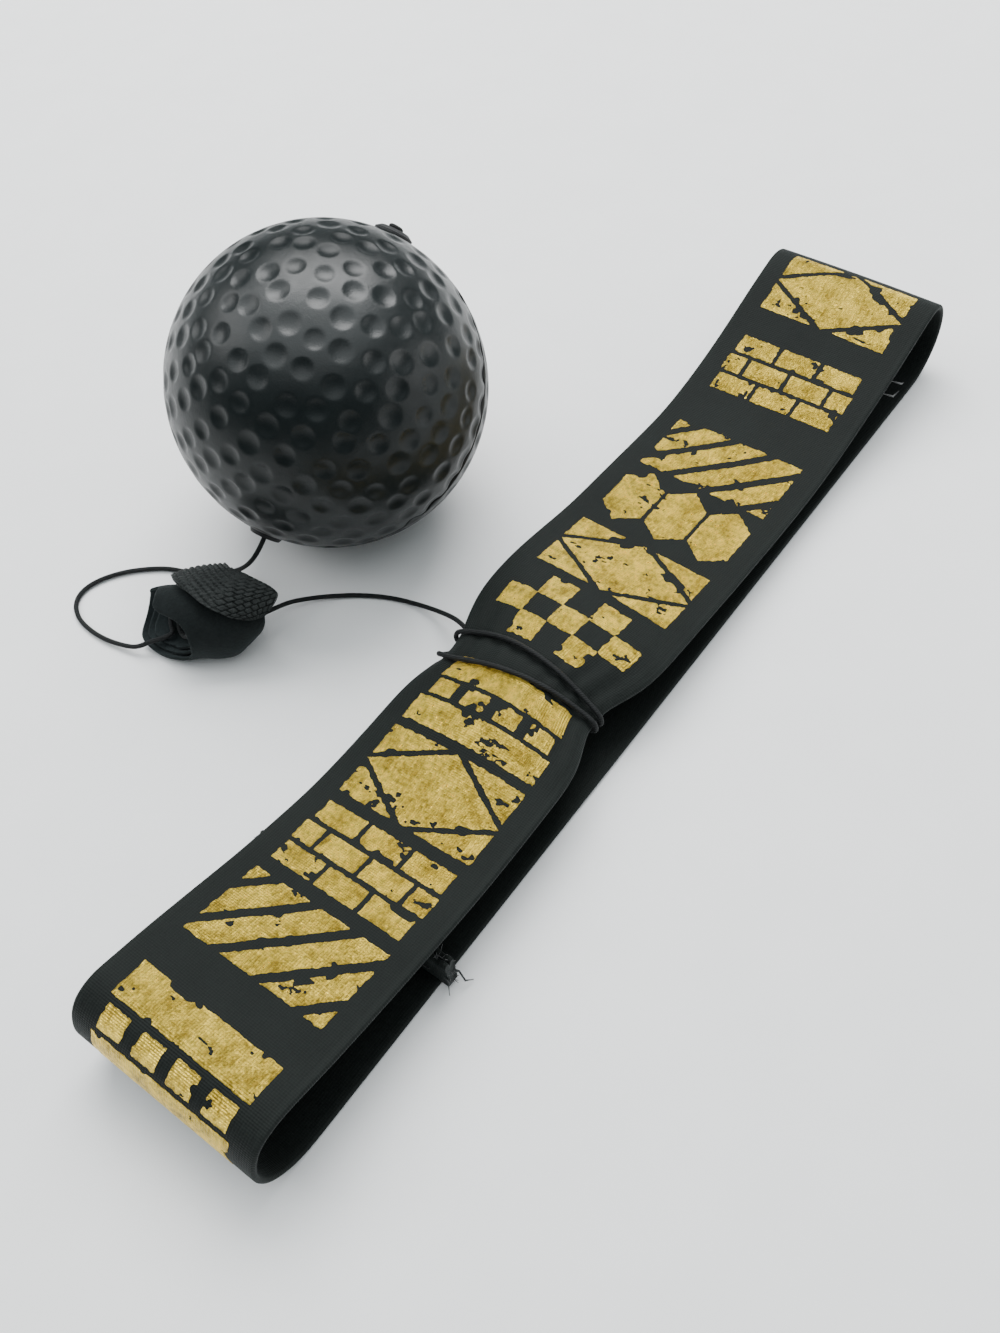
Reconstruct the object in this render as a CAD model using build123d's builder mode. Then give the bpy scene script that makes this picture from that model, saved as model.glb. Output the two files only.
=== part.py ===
from build123d import *

import os
from math import cos, pi, radians, sin, tan

os.makedirs("parts", exist_ok=True)

# ---------------------------------------------------------------------------
# Driving dimensions, in mm. +X runs along the folded headband, +Y towards the
# ball, +Z up. The origin lies on the floor, half way along the band.
# ---------------------------------------------------------------------------
BALL_RADIUS = 32.5
BALL_WALL = 4.5
BALL_X = 6.5
BALL_Y = 27.0
BORE_RISE = 38.0  # degrees above the floor, from the cord's exit to the far end
BORE_HEADING = 1.0  # degrees from +X
SEAM_ROLL = 14.0  # degrees that the mould seam turns about the bore

CORD_RADIUS = 0.5
CORD_RUNNING_GAP = 0.06

TAPE_WIDTH = 40.0
TAPE_THICKNESS = 1.2
FOLDED_LENGTH = 229.0
TAPE_Y = -39.5
FIN_X = -70.5
FIN_HEIGHT = 7.6
FILM_THICKNESS = 0.25

HITCH_X = -18.0
HITCH_LENGTH = 5.6
WAIST_DEPTH = 2.3
WAIST_LENGTH = 40.0

KEEPER_X = -40.05
KEEPER_Y = 25.3
KEEPER_HEADING = -46.0
KEEPER_LENGTH = 24.0
KEEPER_RADIUS = 7.9
KEEPER_WALL = 3.3  # nearly three turns of the strap

# ---------------------------------------------------------------------------
# Ball: two moulded rubber halves, a lipped eyelet for the cord, and the washer
# and knot that hold the cord's end.
# ---------------------------------------------------------------------------
EYELET_BARREL_RADIUS = 2.0
EYELET_LIP_RADIUS = 3.6
EYELET_LIP_HEIGHT = 0.9
EYELET_TAIL = 0.8
WASHER_RADIUS = 4.0
WASHER_HEIGHT = 1.0
WASHER_GAP = 0.05
KNOT_RADIUS = 1.6
KNOT_HEIGHT = 1.0
KNOT_EDGE = 0.4

bore_radius = CORD_RADIUS + CORD_RUNNING_GAP
ball_centre = Vector(BALL_X, BALL_Y, BALL_RADIUS)
rise, heading, roll = radians(BORE_RISE), radians(BORE_HEADING), radians(SEAM_ROLL)
bore_dir = Vector(cos(rise) * cos(heading), cos(rise) * sin(heading), sin(rise))
upper_normal = Vector(-sin(rise) * cos(heading), -sin(rise) * sin(heading), cos(rise))
side_normal = Vector(sin(heading), -cos(heading), 0)
seam_normal = upper_normal * cos(roll) + side_normal * sin(roll)
seam_plane = Plane(origin=ball_centre, x_dir=bore_dir, z_dir=seam_normal)
bore_plane = Plane(origin=ball_centre, x_dir=seam_normal, z_dir=bore_dir)


def ball_half(keep_side):
    """One moulded half of the hollow ball, cut at the seam, with its half of the bore."""
    with BuildPart() as half:
        with BuildSketch(seam_plane):
            with BuildLine():
                CenterArc((0, 0), BALL_RADIUS, 0, 180)
                Line((-BALL_RADIUS, 0), (BALL_RADIUS, 0))
            make_face()
            with BuildLine():
                CenterArc((0, 0), BALL_RADIUS - BALL_WALL, 0, 180)
                Line((BALL_WALL - BALL_RADIUS, 0), (BALL_RADIUS - BALL_WALL, 0))
            make_face(mode=Mode.SUBTRACT)
        revolve(axis=Axis(ball_centre, bore_dir), revolution_arc=360)
        with BuildSketch(bore_plane):
            Circle(bore_radius)
        extrude(amount=BALL_RADIUS + 1, both=True, mode=Mode.SUBTRACT)
        with BuildSketch(bore_plane):
            Circle(EYELET_BARREL_RADIUS)
        extrude(amount=-BALL_RADIUS - 1, mode=Mode.SUBTRACT)
        split(bisect_by=seam_plane, keep=keep_side)
    return half


ball_front_half = ball_half(Keep.TOP)
ball_front_half.part.label = "ball_front_half"
export_step(ball_front_half.part, "parts/ball_front_half.step")

ball_rear_half = ball_half(Keep.BOTTOM)
ball_rear_half.part.label = "ball_rear_half"
export_step(ball_rear_half.part, "parts/ball_rear_half.step")

# The eyelet's profile lies in the seam plane: local X runs along the bore, and
# the exit is on its negative side. The lip seats on the ball's round surface.
lip_seat = (BALL_RADIUS**2 - EYELET_LIP_RADIUS**2) ** 0.5
barrel_seat = (BALL_RADIUS**2 - EYELET_BARREL_RADIUS**2) ** 0.5
eyelet_end = BALL_RADIUS + EYELET_LIP_HEIGHT
with BuildPart() as ball_exit_eyelet:
    with BuildSketch(seam_plane):
        with BuildLine():
            Polyline(
                (-lip_seat, EYELET_LIP_RADIUS),
                (-lip_seat - EYELET_LIP_HEIGHT, EYELET_LIP_RADIUS - EYELET_LIP_HEIGHT / 2),
                (-eyelet_end, bore_radius + EYELET_LIP_HEIGHT),
                (-eyelet_end, bore_radius),
                (BALL_WALL + EYELET_TAIL - BALL_RADIUS, bore_radius),
                (BALL_WALL + EYELET_TAIL - BALL_RADIUS, EYELET_BARREL_RADIUS),
                (-barrel_seat, EYELET_BARREL_RADIUS),
            )
            RadiusArc((-barrel_seat, EYELET_BARREL_RADIUS), (-lip_seat, EYELET_LIP_RADIUS), BALL_RADIUS)
        make_face()
    revolve(axis=Axis(ball_centre, bore_dir), revolution_arc=360)
ball_exit_eyelet.part.label = "ball_exit_eyelet"
export_step(ball_exit_eyelet.part, "parts/ball_exit_eyelet.step")

# The washer's underside follows the ball at a running gap, so the ball turns under it.
washer_seat_radius = BALL_RADIUS + WASHER_GAP
washer_seat = (washer_seat_radius**2 - WASHER_RADIUS**2) ** 0.5
washer_crown = (washer_seat_radius**2 - CORD_RADIUS**2) ** 0.5
washer_top = BALL_RADIUS + WASHER_HEIGHT
with BuildPart() as ball_end_washer:
    with BuildSketch(seam_plane):
        with BuildLine():
            Polyline(
                (washer_seat, WASHER_RADIUS),
                (washer_seat + WASHER_HEIGHT / 2, WASHER_RADIUS),
                (washer_top, WASHER_RADIUS - WASHER_HEIGHT),
                (washer_top, CORD_RADIUS),
                (washer_crown, CORD_RADIUS),
            )
            RadiusArc((washer_crown, CORD_RADIUS), (washer_seat, WASHER_RADIUS), -washer_seat_radius)
        make_face()
    revolve(axis=Axis(ball_centre, bore_dir), revolution_arc=360)
ball_end_washer.part.label = "ball_end_washer"
export_step(ball_end_washer.part, "parts/ball_end_washer.step")

with BuildPart() as ball_end_knot:
    with BuildSketch(bore_plane.offset(washer_top)):
        Circle(KNOT_RADIUS)
    extrude(amount=KNOT_HEIGHT)
    fillet(ball_end_knot.edges().sort_by(Axis(ball_centre, bore_dir))[-1], KNOT_EDGE)
ball_end_knot.part.label = "ball_end_knot"
export_step(ball_end_knot.part, "parts/ball_end_knot.step")

with BuildPart() as cord_in_ball:
    with BuildSketch(bore_plane.offset(-eyelet_end)):
        Circle(CORD_RADIUS)
    extrude(amount=eyelet_end + washer_top)
cord_in_ball.part.label = "cord_in_ball"
export_step(cord_in_ball.part, "parts/cord_in_ball.step")

# ---------------------------------------------------------------------------
# Headband: one elastic tape, folded flat into a loop. Its outline is seen from
# the side, in the XZ plane, and is extruded across the tape's width.
# ---------------------------------------------------------------------------
NEAR_CORNER_HEIGHT = 23.0
FAR_CORNER_HEIGHT = 23.0
NEAR_DIP = (-57.0, 8.2)
HITCH_CREST = (HITCH_X, 14.0)
FAR_DIP = (57.0, 6.2)
END_RADIUS = 9.4
DIP_RADIUS = 90.0
CREST_RADIUS = 60.0

band_half = FOLDED_LENGTH / 2
tape_plane = Plane(origin=(0, TAPE_Y, 0), x_dir=(1, 0, 0), z_dir=(0, -1, 0))
loop_corners = [
    (-band_half, 0),
    (-band_half, NEAR_CORNER_HEIGHT),
    NEAR_DIP,
    HITCH_CREST,
    FAR_DIP,
    (band_half, FAR_CORNER_HEIGHT),
    (band_half, 0),
]
loop_radii = [END_RADIUS, END_RADIUS, DIP_RADIUS, CREST_RADIUS, DIP_RADIUS, END_RADIUS, END_RADIUS]


def loop_ring(outside, inside):
    """The folded loop as a flat ring in the XZ plane, its edges moved out or in from the tape's face."""
    with BuildSketch(tape_plane) as ring:
        with BuildLine():
            FilletPolyline(*loop_corners, radius=loop_radii, close=True)
        make_face()
        inner = offset(ring.sketch_local, amount=inside, kind=Kind.ARC, mode=Mode.PRIVATE)
        if outside > 0:
            offset(amount=outside, kind=Kind.ARC, mode=Mode.REPLACE)
        add(inner, mode=Mode.SUBTRACT)
    return ring.sketch


tape_ring = loop_ring(0, -TAPE_THICKNESS)
film_ring = loop_ring(FILM_THICKNESS, 0)

# The cord squeezes the upper run to a waist, and the tape's two ends are sewn
# into a fin that stands on the lower run, inside the loop.
waist_radius = ((WAIST_LENGTH / 2) ** 2 + WAIST_DEPTH**2) / (2 * WAIST_DEPTH)
mid_height = (NEAR_DIP[1] - TAPE_THICKNESS) / 2
tape_top = NEAR_CORNER_HEIGHT + TAPE_THICKNESS
with BuildPart() as headband_tape:
    extrude(tape_ring, amount=TAPE_WIDTH / 2, both=True)
    with BuildSketch(Plane.XY.offset(mid_height)):
        with Locations(
            (HITCH_X, TAPE_Y + TAPE_WIDTH / 2 - WAIST_DEPTH + waist_radius),
            (HITCH_X, TAPE_Y - TAPE_WIDTH / 2 + WAIST_DEPTH - waist_radius),
        ):
            Circle(waist_radius)
    extrude(amount=tape_top, mode=Mode.SUBTRACT)
    with BuildSketch(Plane.XY.offset(TAPE_THICKNESS / 2)):
        with Locations((FIN_X, TAPE_Y)):
            Rectangle(2 * TAPE_THICKNESS, TAPE_WIDTH)
    extrude(amount=TAPE_THICKNESS / 2 + FIN_HEIGHT)
headband_tape.part.label = "headband_tape"
export_step(headband_tape.part, "parts/headband_tape.step")

# A row of stitches lies along the fin's face, just above its foot.
STITCH_LENGTH = 2.4
STITCH_PITCH = 3.6
STITCH_WIDTH = 0.5
STITCH_COUNT = 10
FIN_STITCH_HEIGHT = 3.2
with BuildPart() as headband_seam_thread:
    with BuildSketch(Plane.YZ.offset(FIN_X + TAPE_THICKNESS)):
        with Locations((TAPE_Y, FIN_STITCH_HEIGHT)):
            with GridLocations(STITCH_PITCH, 1, STITCH_COUNT, 1):
                SlotOverall(STITCH_LENGTH, STITCH_WIDTH)
    extrude(amount=STITCH_WIDTH / 2)
headband_seam_thread.part.label = "headband_seam_thread"
export_step(headband_seam_thread.part, "parts/headband_seam_thread.step")

# ---------------------------------------------------------------------------
# Gold foil film on the tape's outer face: eleven plain geometric blocks. Each
# is a thin skin of the loop, cut to its block's outline from above. X is
# measured along the band and Y across it, from the block's own centre.
# ---------------------------------------------------------------------------
HALF_BLOCK = 8.2
HALF_SPREAD = 15.0
FILM_FLOOR = 3.0


def planks():
    """Two planks across the band with four squares between them."""
    plank_width = 5.6
    square_length, square_width, square_pitch = 3.4, 5.2, 7.6
    with Locations((plank_width / 2 - HALF_BLOCK, 0), (HALF_BLOCK - plank_width / 2, 0)):
        Rectangle(plank_width, 2 * HALF_SPREAD)
    with GridLocations(1, square_pitch, 1, 4):
        Rectangle(square_length, square_width)


def stripes():
    """Broad stripes on a slant, trimmed to the block."""
    stripe, pitch = 4.6, 6.4
    with Locations(Rotation(0, 0, -45)):
        with GridLocations(1, pitch, 1, 5):
            Rectangle(4 * HALF_SPREAD, stripe)
    Rectangle(2 * HALF_BLOCK, 2 * HALF_SPREAD, mode=Mode.INTERSECT)


def argyle():
    """A rhombus with a corner triangle at each of its four sides."""
    joint_s, joint_v = 1.25, 2.3
    Polygon((HALF_BLOCK, 0), (0, HALF_SPREAD), (-HALF_BLOCK, 0), (0, -HALF_SPREAD), align=None)
    for s_side in (-1, 1):
        for v_side in (-1, 1):
            corner = (s_side * HALF_BLOCK, v_side * HALF_SPREAD)
            Polygon(corner, (s_side * joint_s, corner[1]), (corner[0], v_side * joint_v), align=None)


def bricks():
    """Three courses of bricks, the middle one set half a brick along."""
    joint = 1.0
    course, brick = 2 * HALF_BLOCK / 3, 2 * HALF_SPREAD / 3
    for row in (-1, 0, 1):
        first = -HALF_SPREAD - brick / 2 if row else -HALF_SPREAD
        for place in range(5):
            with Locations((row * course, first + place * brick)):
                Rectangle(course - joint, brick - joint)
    Rectangle(2 * HALF_BLOCK, 2 * HALF_SPREAD, mode=Mode.INTERSECT)


def hexagons():
    """Three long hexagons side by side."""
    half_width = 4.7
    shoulder = 4.6
    for row in (-1, 0, 1):
        middle = row * (HALF_SPREAD - half_width)
        outline = [(HALF_BLOCK, 0), (shoulder, half_width), (-shoulder, half_width)]
        outline += [(-x, -y) for x, y in outline]
        Polygon(*[(x, y + middle) for x, y in outline], align=None)


def checks():
    """A chequered block, three squares long and five across, each square joined at its corners."""
    lap = 0.1
    long, wide = 2 * HALF_BLOCK / 3, 2 * HALF_SPREAD / 5
    for column in (-1, 0, 1):
        for row in (-2, -1, 0, 1, 2):
            if (column + row) % 2 == 0:
                with Locations((column * long, row * wide)):
                    Rectangle(long + 2 * lap, wide + 2 * lap)


film_blocks = [
    (-107.5, planks),
    (-84.5, stripes),
    (-66.0, bricks),
    (-47.6, argyle),
    (-29.2, planks),
    (-5.0, checks),
    (14.0, argyle),
    (33.5, hexagons),
    (51.5, stripes),
    (78.5, bricks),
    (101.0, argyle),
]
for number, (block_x, block) in enumerate(film_blocks, start=1):
    with BuildPart() as film:
        extrude(film_ring, amount=HALF_SPREAD, both=True)
        with BuildSketch(Plane.XY.offset(FILM_FLOOR)):
            with Locations((block_x, TAPE_Y)):
                block()
        extrude(amount=tape_top, mode=Mode.INTERSECT)
    film.part.label = f"gold_film_{number:02d}"
    export_step(film.part, f"parts/gold_film_{number:02d}.step")

# ---------------------------------------------------------------------------
# Keeper: a hook-and-loop strap rolled into a tube round the spare cord, with
# a hook tab sewn on at its back. The tube lies on the floor, and its mouth
# slants back towards its upper near side.
# ---------------------------------------------------------------------------
STRAP_GAP = 0.3
TAB_THICKNESS = 0.9
TAB_ROOT_ANGLE = 20.0
TAB_TIP_ANGLE = 135.0
TAB_START = 6.0
TAB_LENGTH = 20.0
MOUTH_SLANT = 31.0  # degrees between the mouth's plane and a square cut
MOUTH_FACING = 126.5  # degrees up from the keeper's far side, where the mouth is pulled back the most
MOUTH_MIDDLE = 4.75
COIL_RECESS = 2.3
COIL_END = 20.0
COIL_RADIUS = 4.2
CORD_SEAT = -3.5  # the cord meets both ends of the coil this far below the keeper's axis

keeper_turn = radians(KEEPER_HEADING)
keeper_dir = Vector(cos(keeper_turn), sin(keeper_turn), 0)
keeper_side = Vector(-sin(keeper_turn), cos(keeper_turn), 0)
keeper_mouth = Vector(KEEPER_X, KEEPER_Y, KEEPER_RADIUS) - keeper_dir * (KEEPER_LENGTH / 2)
mouth_plane = Plane(origin=keeper_mouth, x_dir=keeper_side, z_dir=keeper_dir)

facing = radians(MOUTH_FACING)
near_side = keeper_side * cos(facing) + Vector(0, 0, sin(facing))
mouth_normal = near_side * sin(radians(MOUTH_SLANT)) - keeper_dir * cos(radians(MOUTH_SLANT))


def slanted_tube(outer_radius, inner_radius, length, recess):
    """A tube along the keeper's axis, its front cut on the slant, this much deeper than the mouth."""
    cut_plane = Plane(origin=keeper_mouth + keeper_dir * (MOUTH_MIDDLE + recess), z_dir=mouth_normal)
    with BuildPart() as tube:
        with BuildSketch(mouth_plane):
            Circle(outer_radius)
            if inner_radius > 0:
                Circle(inner_radius, mode=Mode.SUBTRACT)
        extrude(amount=length)
        split(bisect_by=cut_plane, keep=Keep.BOTTOM)
    return tube


keeper_strap = slanted_tube(KEEPER_RADIUS, KEEPER_RADIUS - KEEPER_WALL, KEEPER_LENGTH, 0)
keeper_strap.part.label = "keeper_strap"
export_step(keeper_strap.part, "parts/keeper_strap.step")

tab_inner = KEEPER_RADIUS + STRAP_GAP
tab_outer = tab_inner + TAB_THICKNESS
tab_arc = TAB_TIP_ANGLE - TAB_ROOT_ANGLE
with BuildPart() as keeper_hook_tab:
    with BuildSketch(mouth_plane.offset(TAB_START)):
        with BuildLine():
            outer = CenterArc((0, 0), tab_outer, TAB_ROOT_ANGLE, tab_arc)
            inner = CenterArc((0, 0), tab_inner, TAB_ROOT_ANGLE, tab_arc)
            Line(outer @ 0, inner @ 0)
            Line(outer @ 1, inner @ 1)
        make_face()
    extrude(amount=TAB_LENGTH)
keeper_hook_tab.part.label = "keeper_hook_tab"
export_step(keeper_hook_tab.part, "parts/keeper_hook_tab.step")

# The stitches that hold the tab lie on the strap, just below the tab's root.
TAB_STITCH_ANGLE = 8.0
TAB_STITCH_COUNT = 5
stitch_plane = Plane(
    origin=mouth_plane.from_local_coords(
        (
            KEEPER_RADIUS * cos(radians(TAB_STITCH_ANGLE)),
            KEEPER_RADIUS * sin(radians(TAB_STITCH_ANGLE)),
            TAB_START + TAB_LENGTH / 2,
        )
    ),
    x_dir=keeper_dir,
    z_dir=keeper_side * cos(radians(TAB_STITCH_ANGLE)) + Vector(0, 0, sin(radians(TAB_STITCH_ANGLE))),
)
with BuildPart() as keeper_tab_thread:
    with BuildSketch(stitch_plane):
        with GridLocations(STITCH_PITCH, 1, TAB_STITCH_COUNT, 1):
            SlotOverall(STITCH_LENGTH, STITCH_WIDTH)
    extrude(amount=STITCH_WIDTH / 2)
keeper_tab_thread.part.label = "keeper_tab_thread"
export_step(keeper_tab_thread.part, "parts/keeper_tab_thread.step")

cord_coil = slanted_tube(COIL_RADIUS, 0, COIL_END, COIL_RECESS)
cord_coil.part.label = "cord_coil"
export_step(cord_coil.part, "parts/cord_coil.step")

# ---------------------------------------------------------------------------
# Cord: from the ball round a loose loop on the floor into the coil, and from
# the coil to the knot inside the headband.
# ---------------------------------------------------------------------------
cord_seat = Vector(0, 0, CORD_SEAT)
coil_face = keeper_mouth + keeper_dir * (MOUTH_MIDDLE + COIL_RECESS) + cord_seat
lead_route = [
    ball_centre - bore_dir * eyelet_end,
    ball_centre - bore_dir * (eyelet_end + 3.5),
    (-24.8, 28.3, 6.7),
    (-25.9, 32.0, 3.5),
    (-27.4, 36.9, 1.3),
    (-29.4, 42.4, CORD_RADIUS),
    (-32.6, 48.2, CORD_RADIUS),
    (-36.7, 53.4, CORD_RADIUS),
    (-41.6, 57.2, CORD_RADIUS),
    (-46.9, 58.2, CORD_RADIUS),
    (-51.0, 55.4, CORD_RADIUS),
    (-53.0, 50.8, CORD_RADIUS),
    (-53.3, 45.9, CORD_RADIUS),
    (-52.8, 41.4, 0.9),
    (-51.6, 37.4, 2.1),
    (-49.8, 34.4, 3.6),
    coil_face - keeper_dir * 4.6 - keeper_side * 0.4,
    coil_face - keeper_dir * 0.8 - keeper_side * 0.2,
]
coil_end = keeper_mouth + keeper_dir * COIL_END + cord_seat
run_route = [
    coil_end - keeper_dir * 0.5 + keeper_side * 0.7,
    coil_end + keeper_dir * 2.6 + keeper_side * 1.0,
    (-28.8, 17.4, 3.8),
    (-25.4, 16.5, 2.8),
    (-21.9, 14.8, 1.7),
    (-18.3, 12.0, 0.8),
    (-14.4, 7.4, CORD_RADIUS),
    (-11.3, 1.4, CORD_RADIUS),
    (-9.7, -5.0, 0.8),
    (-9.6, -11.0, 2.3),
    (-11.0, -16.0, 4.8),
    (-13.3, -20.4, 7.1),
    (-15.7, -24.0, 8.8),
    (-16.6, -26.4, 9.5),
]


ARC_SHARE = 0.45  # of the shorter run on each side, that an arc takes up


def cord_tube(name, route):
    """A round tube along straight runs joined by the largest arcs that fit, with a printed check."""
    points = [Vector(point) for point in route]
    runs = [(after - before).length for before, after in zip(points, points[1:])]
    turns = [
        (points[i] - points[i - 1]).get_angle(points[i + 1] - points[i]) for i in range(1, len(points) - 1)
    ]
    radii = [
        ARC_SHARE * min(before, after) / tan(radians(turn) / 2)
        for before, after, turn in zip(runs, runs[1:], turns)
    ]
    start_plane = Plane(origin=points[0], z_dir=points[1] - points[0])
    with BuildPart() as tube:
        with BuildLine() as path:
            FilletPolyline(*points, radius=radii)
        with BuildSketch(start_plane):
            Circle(CORD_RADIUS)
        sweep(path=path.wires()[0])
    length = path.wires()[0].length
    swept = pi * CORD_RADIUS**2 * length
    print(f"{name}: length {length:.1f}, volume {tube.part.volume:.1f} against {swept:.1f}")
    print("  runs", [round(run, 1) for run in runs])
    print("  turns", [round(turn) for turn in turns])
    print("  radii", [round(radius, 1) for radius in radii])
    tube.part.label = name
    export_step(tube.part, f"parts/{name}.step")


cord_tube("cord_lead", lead_route)
cord_tube("cord_run", run_route)

# The hitch is two turns round the upper run, side by side: one closed sleeve
# of their outer shape, hugging the tape above, below and at both edges.
HITCH_EDGE_GAP = 0.1
waist_width = TAPE_WIDTH - 2 * WAIST_DEPTH
sleeve_ring = loop_ring(2 * CORD_RADIUS, -TAPE_THICKNESS - 2 * CORD_RADIUS)
with BuildPart() as cord_hitch:
    extrude(sleeve_ring, amount=waist_width / 2 + HITCH_EDGE_GAP + 2 * CORD_RADIUS, both=True)
    extrude(tape_ring, amount=waist_width / 2 + HITCH_EDGE_GAP, both=True, mode=Mode.SUBTRACT)
    with BuildSketch(Plane.XY.offset(mid_height)):
        with Locations((HITCH_X, TAPE_Y)):
            Rectangle(HITCH_LENGTH, TAPE_WIDTH)
    extrude(amount=tape_top, mode=Mode.INTERSECT)
cord_hitch.part.label = "cord_hitch"
export_step(cord_hitch.part, "parts/cord_hitch.step")

# The knot that ends the cord hangs under the hitch, inside the loop.
HITCH_KNOT_START = (-17.0, -25.0, 9.6)
HITCH_KNOT_RADIUS = 1.9
HITCH_KNOT_LENGTH = 4.2
HITCH_KNOT_EDGE = 1.3
with BuildPart() as hitch_knot:
    with BuildSketch(Plane(origin=HITCH_KNOT_START, z_dir=(0, -1, 0))):
        Circle(HITCH_KNOT_RADIUS)
    extrude(amount=HITCH_KNOT_LENGTH)
    fillet(hitch_knot.edges().filter_by(GeomType.CIRCLE), HITCH_KNOT_EDGE)
hitch_knot.part.label = "hitch_knot"
export_step(hitch_knot.part, "parts/hitch_knot.step")
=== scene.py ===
import math
import random

import bpy
import numpy as np
from mathutils import Matrix, Vector


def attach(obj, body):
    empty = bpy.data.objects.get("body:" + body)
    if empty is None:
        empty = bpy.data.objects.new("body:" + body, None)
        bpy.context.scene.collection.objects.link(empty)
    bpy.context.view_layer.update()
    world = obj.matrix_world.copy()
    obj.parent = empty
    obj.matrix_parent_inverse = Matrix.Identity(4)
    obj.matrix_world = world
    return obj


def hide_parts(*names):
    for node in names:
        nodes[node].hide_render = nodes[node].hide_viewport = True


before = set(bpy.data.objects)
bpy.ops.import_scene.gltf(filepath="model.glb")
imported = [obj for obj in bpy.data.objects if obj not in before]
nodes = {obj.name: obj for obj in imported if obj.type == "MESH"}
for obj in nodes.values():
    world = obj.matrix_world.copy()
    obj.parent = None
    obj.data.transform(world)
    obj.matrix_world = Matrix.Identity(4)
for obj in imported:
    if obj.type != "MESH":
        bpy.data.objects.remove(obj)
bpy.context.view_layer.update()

MM = 0.001
TAPE_Y = -39.5
TAPE_HALF = 20.0
TAPE_THICKNESS = 1.2
CORD_RADIUS = 0.5
HITCH_X = -18.0
FIN_X = -70.5
rng = random.Random(7)


def new_object(name, data):
    """A new object with this data, linked into the scene."""
    made = bpy.data.objects.new(name, data)
    bpy.context.scene.collection.objects.link(made)
    return made


# --- camera -----------------------------------------------------------------
def make_camera():
    """The camera stands in front of the band's left half and looks down on it."""
    right = Vector((0.59574, -0.80009, -0.07036))
    up = Vector((0.67164, 0.44821, 0.58992))
    back = Vector((-0.44046, -0.39870, 0.80439))
    data = bpy.data.cameras.new("camera")
    data.sensor_width = 36.0
    data.lens = 34.504
    data.clip_start = 0.01
    camera = new_object("camera", data)
    turn = Matrix((right, up, back)).transposed().to_4x4()
    camera.matrix_world = Matrix.Translation((-0.125008, -0.129570, 0.205035)) @ turn
    bpy.context.scene.camera = camera


make_camera()

# --- shared shapes ----------------------------------------------------------
rise, heading, roll = math.radians(38.0), math.radians(1.0), math.radians(14.0)
BALL_CENTRE = np.array((6.5, 27.0, 32.5))
BALL_RADIUS = 32.5
bore_dir = np.array((math.cos(rise) * math.cos(heading), math.cos(rise) * math.sin(heading), math.sin(rise)))
upper_normal = np.array(
    (-math.sin(rise) * math.cos(heading), -math.sin(rise) * math.sin(heading), math.cos(rise))
)
side_normal = np.array((math.sin(heading), -math.cos(heading), 0.0))
seam_normal = upper_normal * math.cos(roll) + side_normal * math.sin(roll)
seam_side = np.cross(seam_normal, bore_dir)

KEEPER_TURN = math.radians(-46.0)
keeper_dir = np.array((math.cos(KEEPER_TURN), math.sin(KEEPER_TURN), 0.0))
keeper_side = np.array((-math.sin(KEEPER_TURN), math.cos(KEEPER_TURN), 0.0))
KEEPER_MOUTH = np.array((-47.0, 32.5, 7.9))
MOUTH_SLANT = 0.73


def keeper_point(along, angle, radius):
    """A point in the keeper's own terms: mm along it, degrees up from its far side, mm from its axis."""
    turn = np.radians(angle)
    side = np.multiply.outer(radius * np.cos(turn), keeper_side)
    up = np.multiply.outer(radius * np.sin(turn), (0.0, 0.0, 1.0))
    return KEEPER_MOUTH + np.multiply.outer(along, keeper_dir) + side + up


# --- cord -------------------------------------------------------------------
lead_points = [
    BALL_CENTRE - bore_dir * 33.4,
    BALL_CENTRE - bore_dir * 36.9,
    (-24.8, 28.3, 6.7), (-25.9, 32.0, 3.5), (-27.4, 36.9, 1.3), (-30.2, 42.6, 0.5),
    (-31.6, 46.9, 0.5), (-34.2, 50.8, 0.5), (-37.8, 54.7, 0.5), (-42.1, 57.6, 0.5),
    (-46.2, 58.7, 0.5), (-49.8, 57.6, 0.5), (-52.4, 53.9, 0.5), (-53.3, 49.0, 0.5),
    (-53.2, 44.2, 0.7), (-52.3, 39.7, 1.0), (-51.3, 36.3, 1.7),
    keeper_point(-2.9, 0, -0.5) - (0.0, 0.0, 5.0),
    keeper_point(-0.6, 0, -0.6) - (0.0, 0.0, 4.5),
]
run_points = [
    (-31.6, 18.2, 4.7), (-28.8, 17.6, 4.0), (-25.4, 17.0, 2.9), (-21.9, 15.2, 1.7),
    (-18.3, 12.3, 0.8), (-14.4, 7.4, 0.5), (-11.3, 1.4, 0.5), (-9.7, -5.0, 0.8),
    (-9.6, -11.0, 2.3), (-10.8, -16.0, 4.8), (-12.8, -20.4, 6.9),
]


def coil_points():
    """The spare cord's turns inside the keeper: the first lean as its mouth does, the last hardly at all."""
    turns, per_turn, pitch, start = 9, 14, 1.3, 4.6
    wander = random.Random(3)
    points = []
    size = 3.7
    for step in range(turns * per_turn):
        angle = -95 + 360 * step / per_turn
        if step % per_turn == 0:
            goal = 3.7 + wander.uniform(-0.12, 0.12)
        size += (goal - size) * 0.25
        slant = MOUTH_SLANT * (1 - 0.75 * step / (turns * per_turn))
        lean = size * slant * math.cos(math.radians(angle - 126.5))
        along = start + pitch * step / per_turn + lean
        points.append(keeper_point(along, angle, size))
    return points


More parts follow.
